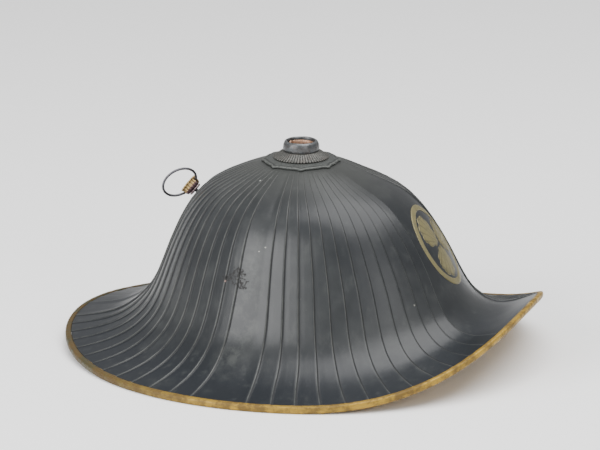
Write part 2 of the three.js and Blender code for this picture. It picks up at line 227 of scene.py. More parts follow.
# %% A wrapped output and a finish
class Wire:
    def __init__(self, finish, socket):
        self.finish, self.socket = finish, socket

    def maths(self, operation, first, second):
        return self.finish.node("ShaderNodeMath", {"operation": operation}, {0: first, 1: second})

    def __add__(self, other):
        return self.maths("ADD", self, other)

    def __radd__(self, other):
        return self.maths("ADD", other, self)

    def __sub__(self, other):
        return self.maths("SUBTRACT", self, other)

    def __rsub__(self, other):
        return self.maths("SUBTRACT", other, self)

    def __mul__(self, other):
        return self.maths("MULTIPLY", self, other)


class Finish:
    def __init__(self, name):
        self.material = bpy.data.materials.new(name)
        self.material.use_nodes = True
        self.tree = self.material.node_tree
        self.shader = self.tree.nodes["Principled BSDF"]
        self.place = self.node("ShaderNodeTexCoord", output="Object")

    def node(self, kind, settings=None, inputs=None, output=0):
        made = self.tree.nodes.new(kind)
        for key, value in (settings or {}).items():
            setattr(made, key, value)
        for key, value in (inputs or {}).items():
            self.feed(made.inputs[key], value)
        return Wire(self, made.outputs[output])

    def feed(self, socket, value):
        if isinstance(value, Wire):
            self.tree.links.new(value.socket, socket)
        elif isinstance(value, tuple) and len(value) == 3 and socket.type == "RGBA":
            socket.default_value = (*value, 1.0)
        else:
            socket.default_value = value

    def mix(self, factor, first, second):
        inputs = {0: factor, 6: first, 7: second}
        return self.node("ShaderNodeMix", {"data_type": "RGBA"}, inputs, output=2)

    def noise(self, scale, detail=3.0, roughness=0.5, where=None):
        inputs = {"Vector": where or self.place, "Scale": scale, "Detail": detail, "Roughness": roughness}
        return self.node("ShaderNodeTexNoise", None, inputs, output="Fac")

    def stretched(self, scale):
        return self.node("ShaderNodeMapping", None, {"Vector": self.place, "Scale": scale})

    def band(self, value, low, high):
        """0 below low, 1 above high, smooth between."""
        inputs = {"Value": value, "From Min": low, "From Max": high}
        return self.node("ShaderNodeMapRange", {"interpolation_type": "SMOOTHSTEP"}, inputs)

    def near(self, centre, radius, softness, ragged):
        """1 inside a ragged spot round a place given in metres, 0 outside."""
        far = self.node("ShaderNodeVectorMath", {"operation": "DISTANCE"},
                        {0: self.place, 1: centre}, output="Value")
        far = far + (self.noise(260, 2.0) - 0.5) * ragged
        return 1 - self.band(far, radius, radius + softness)

    def value(self, name):
        return self.node("ShaderNodeAttribute", {"attribute_name": name}, output="Fac")

    def bump(self, height, strength, distance):
        inputs = {"Height": height, "Strength": strength, "Distance": distance}
        return self.node("ShaderNodeBump", None, inputs, output="Normal")

    def shade(self, **sockets):
        for name, value in sockets.items():
            self.feed(self.shader.inputs[name.replace("_", " ")], value)
        return self.material


# %% [markdown]
# Black lacquer
# The lacquer is not jet black: age and dust make it a charcoal that is greyer over the crown, with a
# satin sheen. The lips of the laps are rubbed pale and painted paler still as a highlight, and the
# grooves in front of them are darkened as painted shade. Both follow values stored on the skin, broken
# up with noise so that no line is even.

# %% The worn black lacquer
lacquer = Finish("black_lacquer")
broad = lacquer.noise(14, 4.0, 0.6)
cloudy = lacquer.noise(55, 5.0, 0.65)
grain = lacquer.noise(900, 3.0, 0.6)
streaks = lacquer.noise(30, 4.0, 0.6, lacquer.stretched((4.0, 4.0, 0.5)))
station = lacquer.value("station")
crown_dust = 1 - lacquer.band(station, 0.6, 3.4)
charcoal = lacquer.mix(lacquer.band(broad, 0.35, 0.7), (0.0135, 0.0152, 0.017), (0.028, 0.030, 0.031))
deep = lacquer.mix(lacquer.band(station, 5.8, 7.4), charcoal, (0.0085, 0.0105, 0.0135))
dusty = lacquer.mix(crown_dust * 0.4, deep, (0.05, 0.052, 0.045))
mottled = lacquer.mix(lacquer.band(cloudy, 0.5, 0.8) * 0.2, dusty, (0.062, 0.066, 0.062))
streaky = lacquer.mix(lacquer.band(streaks, 0.55, 0.8) * 0.25, mottled, (0.078, 0.082, 0.078))
broken = lacquer.band(lacquer.noise(90, 5.0, 0.75), 0.35, 0.6) * 0.7 + 0.3
# The lips are rubbed pale and also painted paler as a highlight; noise breaks the line up.
rubbed = lacquer.value("lip") * broken
lip_rubbed_and_highlit = lacquer.mix(rubbed * 0.36, streaky, (0.15, 0.155, 0.135))
# The grooves in front of the lips are darkened with painted shade.
groove_painted_shade = lacquer.mix(lacquer.value("groove") * 0.7, lip_rubbed_and_highlit, (0.005, 0.0055, 0.0065))
print("lacquer nodes so far:", len(lacquer.tree.nodes))

# %% [markdown]
# Wear in its places
# The plain side panel is scuffed paler and has a few dark bruises and chips. Each worn place is a
# ragged spot in the model's own coordinates, so it stays put from every side.

# %% Scuffs, chips and the sheen
# A place and a radius in metres, for the chips also a tone. An edge is its softness and raggedness.
BRUISE_EDGE, CHIP_EDGE = (0.0012, 0.012), (0.0005, 0.003)
BRUISES = (((-0.019, -0.0936, 0.0807), 0.0042), ((-0.0151, -0.0967, 0.0745), 0.0034),
           ((-0.0240, -0.0943, 0.0774), 0.0030), ((-0.0285, -0.0941, 0.0765), 0.0022))
CHIPS = (((-0.0281, -0.0946, 0.0741), 0.0007, (0.22, 0.15, 0.13)),
         ((-0.0196, -0.0415, 0.1395), 0.0006, (0.34, 0.35, 0.33)),
         ((-0.0042, -0.0882, 0.098), 0.0004, (0.2, 0.2, 0.18)),
         ((0.0007, -0.0868, 0.1009), 0.0004, (0.18, 0.18, 0.16)),
         ((0.1074, -0.0552, 0.057), 0.0005, (0.18, 0.18, 0.16)))
patch = lacquer.value("scuff") * lacquer.band(lacquer.noise(70, 5.0, 0.7), 0.42, 0.7)
scuffed = lacquer.mix(patch * 0.25, groove_painted_shade, (0.12, 0.125, 0.115))
fine = lacquer.band(lacquer.noise(420, 4.0, 0.75), 0.66, 0.74) * 0.5
specked = lacquer.mix(fine * lacquer.band(broad, 0.45, 0.7), scuffed, (0.13, 0.13, 0.12))
bruise = 0.0
for place, size in BRUISES:
    bruise = bruise + lacquer.near(place, size, *BRUISE_EDGE)
bruise = lacquer.band(bruise, 0.1, 0.8) * lacquer.band(lacquer.noise(480, 4.0, 0.7), 0.4, 0.55)
bruised = lacquer.mix(bruise * 0.85, specked, (0.010, 0.009, 0.009))
chipped = bruised
for place, size, tone in CHIPS:
    chipped = lacquer.mix(lacquer.near(place, size, *CHIP_EDGE), chipped, tone)
sheen = 0.29 + cloudy * 0.08 + crown_dust * 0.1 + lacquer.value("groove") * 0.2 + bruise * 0.35
relief = cloudy * 0.25 + grain * 0.1 + streaks * 0.2
black_lacquer = lacquer.shade(
    Base_Color=chipped, Roughness=sheen, Specular_IOR_Level=0.32,
    Normal=lacquer.bump(relief, 0.35, 0.0006))
print("black lacquer:", len(lacquer.tree.nodes), "nodes")

# %% [markdown]
# Gold lacquer
# The edge roll and the hollow of the hat are finished in gold lacquer over brown. The gold has worn
# to brown in blotches and is duller and greener towards the back of the hat.

# %% The gold lacquer of the roll and of the hollow
DULL_AT, BRIGHT_AT = -0.15, 0.02


def gold_finish(name, bright, dull, worn, wear_low, wear_high):
    gold = Finish(name)
    split = gold.node("ShaderNodeSeparateXYZ", None, {0: gold.place}, output="X")
    backward = 1 - gold.band(split, DULL_AT, BRIGHT_AT)
    base = gold.mix(backward, bright, dull)
    blotches = gold.band(gold.noise(95, 5.0, 0.68), wear_low, wear_high)
    flecks = gold.band(gold.noise(520, 4.0, 0.7), 0.58, 0.7)
    shaded = gold.mix(blotches * 0.8, base, worn)
    fleck_tone = tuple(c * 1.5 for c in bright)
    flecked = gold.mix(flecks * (1 - backward) * 0.3, shaded, fleck_tone)
    metal = 0.25 - blotches * 0.2
    rough = 0.36 + blotches * 0.2 + gold.noise(300, 3.0) * 0.12
    relief = gold.noise(240, 4.0, 0.65) + blotches * 0.4
    return gold.shade(Base_Color=flecked, Metallic=metal, Roughness=rough, Specular_IOR_Level=0.3,
                      Normal=gold.bump(relief, 0.4, 0.0005))


roll_gold = gold_finish("gold_lacquer", bright=(0.31, 0.19, 0.022), dull=(0.045, 0.042, 0.02),
                        worn=(0.07, 0.04, 0.01), wear_low=0.38, wear_high=0.6)
hollow_gold = gold_finish("hollow_gold", bright=(0.46, 0.31, 0.13), dull=(0.42, 0.29, 0.13),
                          worn=(0.14, 0.08, 0.035), wear_low=0.6, wear_high=0.8)
print("gold finishes:", roll_gold.name, hollow_gold.name)

# %% [markdown]
# Metals of the fittings
# The plate, collar and tube are dark patinated copper alloy, the liner is bare copper, the boss is
# gilt, its washer purple-brown, and the ring is blackened iron. One recipe serves them all: a base,
# a rubbed tone on the high spots, a stain, and a hammered or stippled relief.


# %% One recipe for the small metals
def metal_finish(name, base, rubbed, stain, rough, stipple, depth, metallic=0.85, under=None):
    metal = Finish(name)
    cloud = metal.noise(180, 4.0, 0.65)
    spots = metal.node("ShaderNodeTexVoronoi", {"feature": "F1"},
                       {"Vector": metal.place, "Scale": stipple}, output="Distance")
    worn = metal.value("lip") * metal.band(metal.noise(400, 3.0, 0.7), 0.3, 0.6)
    tone = metal.mix(metal.band(cloud, 0.42, 0.68) * 0.7, base, stain)
    tone = metal.mix(metal.band(spots, 0.35, 0.6) * 0.3, tone, rubbed)
    tone = metal.mix(worn * 0.8, tone, rubbed)
    if under:
        tone = metal.mix(metal.value("under"), tone, under)
    tone = metal.mix(metal.value("groove") * 0.85, tone, tuple(c * 0.15 for c in base))
    return metal.shade(Base_Color=tone, Metallic=metallic, Roughness=rough + cloud * 0.2,
                       Normal=metal.bump(spots + cloud * 0.5, depth, 0.0004))


plate_metal = metal_finish("plate_metal", (0.048, 0.053, 0.052), (0.13, 0.135, 0.125),
                           (0.035, 0.036, 0.033), 0.42, 1400, 0.6, metallic=0.55)
collar_metal = metal_finish("collar_metal", (0.042, 0.045, 0.043), (0.15, 0.145, 0.132),
                            (0.045, 0.033, 0.028), 0.40, 1700, 0.5, metallic=0.6)
tube_metal = metal_finish("tube_metal", (0.048, 0.053, 0.055), (0.12, 0.125, 0.13), (0.055, 0.042, 0.036),
                          0.28, 350, 0.05, metallic=0.6)
copper = metal_finish("copper", (0.42, 0.25, 0.16), (0.62, 0.42, 0.30), (0.22, 0.12, 0.08), 0.38, 500, 0.3)
gilt = metal_finish("gilt", (0.40, 0.27, 0.11), (0.58, 0.42, 0.2), (0.18, 0.11, 0.06), 0.30, 900, 0.2,
                    under=(0.16, 0.10, 0.11))
purple_copper = metal_finish("purple_copper", (0.20, 0.13, 0.15), (0.45, 0.36, 0.36), (0.10, 0.06, 0.07),
                             0.34, 900, 0.25)
black_iron = metal_finish("black_iron", (0.085, 0.085, 0.098), (0.20, 0.20, 0.21), (0.06, 0.05, 0.05),
                          0.36, 600, 0.2, metallic=0.7)
print("metals:", len(bpy.data.materials))

# %% [markdown]
# Where the laps are
# Each side of the hat has two zones of lapped segments between plain panels at the front, the side and
# the back. A lap rises to a rounded lip at its front side and drops sharply to the next one. The plain
# back panel is turned a little, so the two sides differ there.

# %% The columns of the skin
# Every column is a turn in degrees, a rise, a groove and a lip. LIP is one lap's edge, the slopes are
# the shares of a lap behind it, and the rooms keep the plain panels' columns off the lips.
LAPS = 12
FRONT_PANEL, SIDE_PANEL, BACK_PANEL = 19.2, (85.6, 99.6), (170.4, 176.6)
LIP = ((-0.55, 0.0, 0.0, 0.0), (-0.22, 0.0, 1.0, 0.0), (-0.04, 0.4, 0.7, 0.1),
       (0.14, 0.92, 0.0, 0.9), (0.36, 1.0, 0.0, 0.12), (0.8, 0.9, 0.0, 0.0))
SLOPES = (0.38, 0.55, 0.72)
BACK_MIDDLE = 183.5
ROOM_BEFORE, ROOM_AFTER_SIDE, ROOM_AFTER_BACK = 0.7, 2.6, 2.4
FRONT_PITCH, PANEL_PITCH = 1.6, 1.3


def zone_columns(start, end):
    """The columns of one zone, whose laps rise towards its start."""
    columns = []
    pitch = (end - start) / LAPS
    for number in range(LAPS + 1):
        edge = start + number * pitch
        columns += [(edge + turn, rise, groove, lip) for turn, rise, groove, lip in LIP]
        if number < LAPS:
            columns += [(edge + pitch * share, 1 - share, 0.0, 0.0) for share in SLOPES]
    return columns


def plain_columns(start, end, step):
    count = max(1, round((end - start) / step))
    return [(start + (end - start) * i / count, 0.0, 0.0, 0.0) for i in range(count)]


def half_columns(back_edge, end):
    side_start, side_end = SIDE_PANEL
    columns = plain_columns(0, FRONT_PANEL - ROOM_BEFORE, FRONT_PITCH)
    columns += zone_columns(FRONT_PANEL, side_start)
    columns += plain_columns(side_start + ROOM_AFTER_SIDE, side_end - ROOM_BEFORE, PANEL_PITCH)
    columns += zone_columns(side_end, back_edge)
    return columns + plain_columns(back_edge + ROOM_AFTER_BACK, end, PANEL_PITCH)


far_half = half_columns(BACK_PANEL[1], BACK_MIDDLE)
near_half = half_columns(BACK_PANEL[0], 360 - BACK_MIDDLE)
near_turned = [(360 - turn, rise, groove, lip) for turn, rise, groove, lip in reversed(near_half[1:])]
skin_columns = far_half + near_turned
print("columns round the skin:", len(skin_columns))

# %% [markdown]
# The skin itself
# Outer rows run from the hole to the edge and inner rows come back one wall below. The lacquer over
# rawhide is hand made, so each lap wanders by a fraction of a degree and the skin swells a little.

# %% Build the skin
OUTER, INNER = 104, 44
WANDER = math.radians(0.45)
LONG_SWELL, SHORT_SWELL = 0.2, 0.05
SIDE_SCUFF, BRIM_SCUFF = (95, 8.5, 5.4, 2.2), (42, 22, 6.8, 1.2)


def scuff_at(turn, station):
    """The rubbed plain panel on the near side, and a fainter one on the near front of the brim.

    Each scuff has a middle and a reach in degrees, then a middle and a reach in stations.
    """
    near = 360 - turn
    side, brim = (max(0.0, 1 - abs(near - middle) / reach) * max(0.0, 1 - abs(station - row) / rows)
                  for middle, reach, row, rows in (SIDE_SCUFF, BRIM_SCUFF))
    return min(1.0, 2.2 * side) + 0.5 * brim


def skin_vertex(column, row):
    turn, rise, groove, lip = skin_columns[column]
    outer = row <= OUTER
    station = LAST * row / OUTER if outer else LAST * (1 - (row - OUTER - 1) / INNER)
    angle = math.radians(turn)
    on_edge = station in (0.0, float(LAST))
    if outer:
        angle += WANDER * around_noise(angle, 4, station * 0.7) * min(1.0, station / 3)
    point = skin_point(angle, station)
    normal = Vector((0, 0, 1)) if on_edge else skin_normal(angle, station)
    fade = station_value("rib", round(station, 6))
    swell = noise.noise(point * 0.03) * LONG_SWELL + noise.noise(point * 0.11) * SHORT_SWELL
    swell *= min(1.0, station / 2) * min(1.0, (LAST - station) * 2)
    point += normal * (RIB_HEIGHT * rise * fade + swell if outer else -WALL)
    kept = min(1.0, station) if outer else 0.0
    found = {"station": station if outer else float(LAST), "groove": groove * kept, "lip": lip * kept,
             "scuff": scuff_at(turn, station) if outer else 0.0}
    return placed(point), found


def skin_sheet():
    rows = OUTER + INNER + 2
    bm = wrapped_sheet(len(skin_columns), rows, skin_vertex, ("station", "groove", "lip", "scuff"))
    for face in bm.faces:
        middle = face.calc_center_median()
        face.material_index = 0 if face.normal.z > 0 or middle.z > CROWN_HEIGHT * MM else 1
    return bm


make_piece("shell_skin", skin_sheet(), (black_lacquer, hollow_gold), "helmet", "shell",
           sharp=62)

# %% [markdown]
# The edge roll
# The brim's edge is closed by a gilded roll. Its section is a flattened round that stands on the
# surface at both sides. It is swept along the edge, with small hand-made waves.

# %% Build the edge roll
RIM_WIDTH, RIM_HEIGHT, FRONT_SLOPE = 4.5, 5.5, 0.45
RIM_SECTION = ((0.0, 0.95), (0.12, 1.0), (0.3, 1.0), (0.5, 0.99), (0.7, 0.96), (0.86, 0.88), (0.95, 0.76),
               (1.0, 0.6), (1.0, 0.42), (0.97, 0.24), (0.9, 0.1), (0.78, 0.01), (0.6, 0.0), (0.4, 0.0),
               (0.2, 0.0), (0.06, 0.04), (0.0, 0.14))
RIM_COLUMNS = 540
RIPPLE = 0.12


def roll_vertex(column, row):
    angle = 2 * math.pi * column / RIM_COLUMNS
    edge = skin_point(angle, LAST)
    along = skin_point(angle + STEP, LAST) - skin_point(angle - STEP, LAST)
    outward = Vector((along.y, -along.x, 0)).normalized()
    out, up = RIM_SECTION[row]
    cosine = math.cos(angle)
    slope = FRONT_SLOPE * rise_share(cosine) if cosine > 0 else 0.0
    wave = around_noise(angle, 9, 2.0)
    ripple = RIPPLE * around_noise(angle, 60, out * 2)
    reach = GAP + out * RIM_WIDTH * (0.985 + 0.015 * wave) - out * abs(ripple)
    lift = up * RIM_HEIGHT * (1 + 0.02 * wave) - EDGE_TOP + slope * out * RIM_WIDTH
    if up > 0.5:
        lift += ripple
    return placed(edge + outward * reach + Vector((0, 0, lift))), {}


make_piece("rim_band", wrapped_sheet(RIM_COLUMNS, len(RIM_SECTION), roll_vertex), (roll_gold,),
           "helmet", "rim_roll", sharp=75)

# %% [markdown]
# The lobed plate
# A thin dark plate sits on the crown and follows it. Its outline is a circle with eight small lobes.
# It has a low border, and its field is stippled by the finish. A row of its section is a share of the
# width, a share of the thickness and a groove.

# %% Build the lobed plate
PLATE_RADIUS, LOBES, LOBE_REACH, PLATE_THICKNESS = 28.3, 8, 1.9, 1.6
PLATE_TURN = math.radians(4)
PLATE_COLUMNS, LOBE_POWER = 256, 14
PLATE_SECTION = ((0.0, 0.94, 0.0), (0.35, 0.94, 0.0), (0.6, 0.94, 0.0), (0.78, 0.93, 0.0),
                 (0.84, 0.88, 0.5), (0.865, 0.8, 0.8), (0.89, 0.9, 0.3), (0.925, 1.0, 0.0),
                 (0.965, 0.98, 0.0), (0.99, 0.82, 0.0), (1.0, 0.5, 0.2), (1.0, 0.08, 0.8),
                 (0.985, 0.0, 1.0), (0.6, 0.0, 1.0), (0.0, 0.0, 1.0))


@functools.lru_cache(maxsize=None)
def station_at(angle, radius):
    """The station at which the skin is a given distance from the crown's axis."""
    ends = halved(0.0, float(LAST), 24,
                  lambda station: math.hypot(*skin_point(angle, station).xy) < radius)
    return sum(ends) / 2


def over_crown(angle, radius, height):
    station = station_at(angle, radius)
    return skin_point(angle, station) + skin_normal(angle, station) * height


def plate_vertex(column, row):
    angle = 2 * math.pi * column / PLATE_COLUMNS
    lobe = abs(math.sin(LOBES * (angle + PLATE_TURN) / 2)) ** LOBE_POWER
    outline = PLATE_RADIUS + LOBE_REACH * lobe
    share, height, groove = PLATE_SECTION[row]
    radius = HOLE + (outline - HOLE) * share
    lip = 1.0 if 0.9 < share and height > 0.9 else 0.15
    point = over_crown(angle, radius, GAP + PLATE_THICKNESS * height)
    return placed(point), {"groove": groove, "lip": lip}


make_piece("lobed_plate", wrapped_sheet(PLATE_COLUMNS, len(PLATE_SECTION), plate_vertex, ("groove", "lip")),
           (plate_metal,), "helmet", "base_plate")

# %% [markdown]
# The beaded collar
# Between plate and tube stands a collar worked in upright flutes over a row of beads. A spun profile
# is drawn in between the flutes, and the depth of the draw changes with height, so that beads form.
# A row of its rise is a share of the way in, a share of the height and that depth.

# %% Build the beaded collar
FLUTES, FLUTE_DEPTH = 56, 0.042
COLLAR_FOOT, COLLAR_TOP, COLLAR_BORE, COLLAR_LIFT = 21.5, 14.4, HOLE + 0.2, 0.9
collar_foot, collar_top = [corner[2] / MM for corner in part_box("fluted_collar")]
COLLAR_RISE = ((0.05, 0.0, 0.9), (0.0, 0.07, 1.0), (0.0, 0.15, 1.0), (0.05, 0.22, 1.0), (0.14, 0.26, 0.6),
               (0.24, 0.29, 0.4), (0.3, 0.35, 0.8), (0.4, 0.45, 0.9), (0.52, 0.56, 0.9), (0.64, 0.68, 0.8),
               (0.76, 0.8, 0.7), (0.87, 0.9, 0.5), (0.95, 0.96, 0.2), (1.0, 1.0, 0.0))


def collar_shape():
    height = collar_top - collar_foot
    inner_foot = collar_foot + COLLAR_LIFT
    spread = COLLAR_FOOT - COLLAR_TOP
    outside = [(COLLAR_FOOT - spread * share, collar_foot + height * up) for share, up, _ in COLLAR_RISE]
    profile = [(COLLAR_BORE, inner_foot), *outside, (COLLAR_BORE, collar_top), (COLLAR_BORE, inner_foot)]
    bm = turned_shape(profile, FLUTES * 6)
    groove_layer = bm.verts.layers.float.new("groove")
    lip_layer = bm.verts.layers.float.new("lip")
    for vert in bm.verts:
        if vert.co.xy.length < (HOLE + COLLAR_TOP) / 2:
            continue
        up = (vert.co.z - collar_foot) / height
        depth = min(COLLAR_RISE, key=lambda row: abs(row[1] - up))[2]
        valley = valley_at(vert, FLUTES)
        drawn_in(vert, 1 - FLUTE_DEPTH * depth * valley)
        vert[groove_layer] = max(0.0, valley * 1.6 - 0.6) * depth
        vert[lip_layer] = max(0.0, 1 - valley * 2.2)
    for vert in bm.verts:
        vert.co = placed(vert.co)
    return bm


make_piece("beaded_collar", collar_shape(), (collar_metal,), "helmet", "fluted_collar")

# %% [markdown]
# The open tube and its liner
# The tube is the open end of the crown. Its mouth is rolled over, and a copper sleeve inside it has a
# torn and curled edge on one side.

# %% Build the tube and the liner
TUBE_BORE, SPIGOT, DENT = 10.5, 11.6, 0.012
LINER_BORE, LINER_OUTSIDE, TEAR_SIDE = 9.4, 10.2, math.radians(205)
tube_bottom, tube_top = [corner[2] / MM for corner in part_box("crown_tube")]


def mouth_shape():
    shoulder = collar_top + GAP
    rise = tube_top - shoulder
    outside = ((13.5, 0.0), (13.75, 0.08), (13.88, 0.17), (13.9, 0.27), (13.84, 0.4), (13.7, 0.55),
               (13.42, 0.68), (13.1, 0.78), (12.75, 0.87), (12.3, 0.94), (11.8, 0.985), (11.4, 1.0),
               (11.0, 0.98), (10.7, 0.92), (10.53, 0.84))
    profile = [(TUBE_BORE, tube_bottom), (SPIGOT, tube_bottom), (SPIGOT, shoulder)]
    profile += [(radius, shoulder + rise * up) for radius, up in outside]
    profile += [(TUBE_BORE, tube_top - 3.0), (TUBE_BORE, tube_bottom)]
    bm = turned_shape(profile, 144)
    lip_layer = bm.verts.layers.float.new("lip")
    for vert in bm.verts:
        angle = math.atan2(vert.co.y, vert.co.x)
        high = (vert.co.z - shoulder) / rise
        if high > 0.1:
            dent = around_noise(angle, 2, high)
            drawn_in(vert, 1 + DENT * dent)
            vert.co.z -= 0.25 * abs(dent) * min(1.0, high)
        vert[lip_layer] = 1.0 if high > 0.85 else 0.2
        vert.co = placed(vert.co)
    return bm


make_piece("tube_mouth", mouth_shape(), (tube_metal,), "helmet", "crown_tube")


def liner_shape():
    bottom, top = [corner[2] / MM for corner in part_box("tube_liner")]
    middle = (bottom + top) / 2
    profile = [(LINER_BORE, bottom), (10.15, bottom), (LINER_OUTSIDE, middle),
               (LINER_OUTSIDE, top - 0.4), (9.95, top), (9.55, top), (LINER_BORE, top - 0.4),
               (LINER_BORE, middle), (LINER_BORE, bottom)]
    bm = turned_shape(profile, 120)
    for vert in bm.verts:
        angle = math.atan2(vert.co.y, vert.co.x)
        torn = max(0.0, math.cos(angle - TEAR_SIDE)) ** 2
        ragged = around_noise(angle, 5, 1.0)
        if vert.co.z > top - 1:
            vert.co.z += 1.5 * torn * (0.6 + ragged) - 0.5
            drawn_in(vert, 1 - 0.13 * torn * (0.7 + 0.6 * ragged))
        vert.co = placed(vert.co)
    return bm


make_piece("torn_liner", liner_shape(), (copper,), "helmet", "tube_liner", sharp=70)

# %% [markdown]
# The badge fitting
# A pin through the back panel holds a scalloped washer and a gilt flower boss. The boss has a cross
# bore in which a wire ring swings. All four are made along Z and then stood on the skin.

# %% The fitting's own frame
BADGE_ANGLE, BADGE_STATION = math.radians(183.1), 3.36
BOSS_BACK, RING_AXIS = 4.0, 6.8
RING_RADIUS, RING_WIRE, RING_SEAT, RING_REST = 13.6, 0.95, 1.1, math.radians(48)
BORE = RING_SEAT + RING_WIRE + GAP
RING_SIDES, RING_STEPS = 18, 128


def badge_matrix():
    normal = skin_normal(BADGE_ANGLE, BADGE_STATION)
    down = skin_point(BADGE_ANGLE, BADGE_STATION + STEP) - skin_point(BADGE_ANGLE, BADGE_STATION - STEP)
    down = (down - normal * down.dot(normal)).normalized()
    across = normal.cross(down)
    turn = Matrix((down, across, normal)).transposed().to_4x4()
    return Matrix.Translation(skin_point(BADGE_ANGLE, BADGE_STATION)) @ turn


badge = badge_matrix()


def stood(bm, matrix=badge):
    """Places a shape made along Z, by default with its foot at the fitting's place on the skin."""
    for vert in bm.verts:
        vert.co = placed(matrix @ vert.co)
    return bm


def petalled(bm, petals, depth, beyond):
    """Draws the outside in between petals and notes the valleys and the crowns."""
    groove_layer, lip_layer = (bm.verts.layers.float.new(name) for name in ("groove", "lip"))
    for vert in bm.verts:
        valley = valley_at(vert, petals)
        if vert.co.xy.length > beyond:
            drawn_in(vert, 1 - depth * valley)
            vert[groove_layer] = max(0.0, valley * 1.8 - 0.8)
        vert[lip_layer] = 1 - valley
    return bm


print("badge foot (mm):", [round(c, 1) for c in badge.translation])

# %% Build the pin, the washer and the boss
# Each profile is in millimetres: a radius, and a height above the skin at the pin.
pin_profile = [(0, -5.0), (2.6, -5.0), (3.0, -4.7), (3.0, -4.1), (2.7, -3.8), (1.4, -3.8),
               (1.4, 3.6), (1.3, 3.7), (0, 3.7)]
make_piece("badge_pin", stood(turned_shape(pin_profile, 40)), (black_iron,), "helmet", "boss_pin")

washer_profile = [(1.7, 2.2), (4.7, 2.2), (5.15, 2.35), (5.5, 2.6), (5.6, 2.95), (5.5, 3.3), (5.15, 3.55),
                  (4.7, 3.7), (1.7, 3.7), (1.7, 2.2)]
make_piece("badge_washer", stood(petalled(turned_shape(washer_profile, 144), 12, 0.08, 2.8)),
           (purple_copper,), "helmet", "boss_washer")

boss_profile = [(0, BOSS_BACK), (5.9, BOSS_BACK), (6.3, BOSS_BACK + 0.25), (6.8, 5.2), (7.1, 6.1),
                (7.2, 6.8), (7.2, RING_AXIS + BORE), (7.45, 9.4), (7.75, 9.65), (7.9, 9.9), (7.86, 10.2),
                (7.6, 10.5), (7.0, 10.7), (6.0, 10.78), (5.0, 10.8), (4.3, 10.68), (3.9, 10.63),
                (3.5, 10.8), (2.4, 10.97), (1.2, 11.0), (0, 11.0)]
# Below UNDER_TOP the boss takes its darker under tone.
UNDER_TOP, UNDER_SOFTNESS, DRILL_REACH = 6.6, 0.4, 12


def drilled(bm, tool):
    """One shape less another: both become objects for a moment, and the cut comes back."""
    pair = []
    for shape in (bm, tool):
        mesh = bpy.data.meshes.new("drilled")
        shape.to_mesh(mesh)
        shape.free()
        pair.append(bpy.data.objects.new("drilled", mesh))
        bpy.context.collection.objects.link(pair[-1])
    cut = pair[0].modifiers.new("bore", "BOOLEAN")
    cut.operation, cut.object, cut.solver = "DIFFERENCE", pair[1], "EXACT"
    ready = pair[0].evaluated_get(bpy.context.evaluated_depsgraph_get())
    result = bmesh.new()
    result.from_mesh(ready.to_mesh())
    for holder in pair:
        bpy.data.meshes.remove(holder.data)
    return result


def bored_boss():
    shape = petalled(turned_shape(boss_profile, 192), 16, 0.08, 3.95)
    under = shape.verts.layers.float.new("under")
    for vert in shape.verts:
        vert[under] = min(1.0, max(0.0, (UNDER_TOP - vert.co.z) / UNDER_SOFTNESS))
    drill_profile = [(0, -DRILL_REACH), (BORE, -DRILL_REACH), (BORE, DRILL_REACH), (0, DRILL_REACH)]
    tool = turned_shape(drill_profile, 48)
    bmesh.ops.rotate(tool, verts=tool.verts, cent=(0, 0, 0), matrix=Matrix.Rotation(math.pi / 2, 3, "Y"))
    bmesh.ops.translate(tool, verts=tool.verts, vec=(0, 0, RING_AXIS))
    return stood(drilled(shape, tool))


make_piece("flower_boss", bored_boss(), (gilt,), "helmet", "ring_boss")

# %% [markdown]
# The ring
# The ring is a bent wire that swings in the boss. It rides on its own body, so the joint's limits can
# be looked at.

# %% Build the ring
def ring_shape():
    bm = bmesh.new()
    made = bmesh.ops.create_circle(bm, segments=RING_SIDES, radius=RING_WIRE)
    bmesh.ops.rotate(bm, verts=made["verts"], cent=(0, 0, 0), matrix=Matrix.Rotation(math.pi / 2, 3, "X"))
    bmesh.ops.translate(bm, verts=made["verts"], vec=(RING_RADIUS, 0, 0))
    bmesh.ops.spin(bm, geom=bm.verts[:] + bm.edges[:], cent=(0, 0, 0), axis=(0, 0, 1),
                   angle=2 * math.pi, steps=RING_STEPS, use_merge=True)
    bmesh.ops.remove_doubles(bm, verts=bm.verts, dist=RING_MERGE)
    bmesh.ops.recalc_face_normals(bm, faces=bm.faces)
    swing = Matrix.Rotation(-RING_REST, 4, "X") @ Matrix.Translation((0, 0, RING_RADIUS - RING_SEAT))
    upright = Matrix.Rotation(math.pi / 2, 4, "X")
    return stood(bm, badge @ Matrix.Translation((0, 0, RING_AXIS)) @ swing @ upright)


make_piece("wire_ring", ring_shape(), (black_iron,), "badge_ring", "badge_ring")

# %% [markdown]
# The leaf roundel
# The front panel carries a ring of gold with three veined leaves in it, a traditional kind of
# ornament. It is laid on as thin raised lacquer: each point is measured out on the skin from the
# roundel's centre, so the ornament bends with the crown.

# %% Measure out on the front panel
ROUNDEL_HEIGHT, ROUNDEL_SIDE, FRONT_VIEW_WIDTH = 90.0, 3.5, 0.76
SLIDE = 0.02
centre_station = halved(1.0, 7.0, 30, lambda station: skin_point(0, station).z > ROUNDEL_HEIGHT)[0]


@functools.lru_cache(maxsize=None)
def slid_station(down):
    """The station a number of millimetres down the front from the roundel's centre."""
    station, left = centre_station, abs(down)
    step = SLIDE if down > 0 else -SLIDE
    while left > 0:
        stride = (skin_point(0, station + step) - skin_point(0, station)).length
        station += step * min(1.0, left / stride)
        left -= stride
    return station


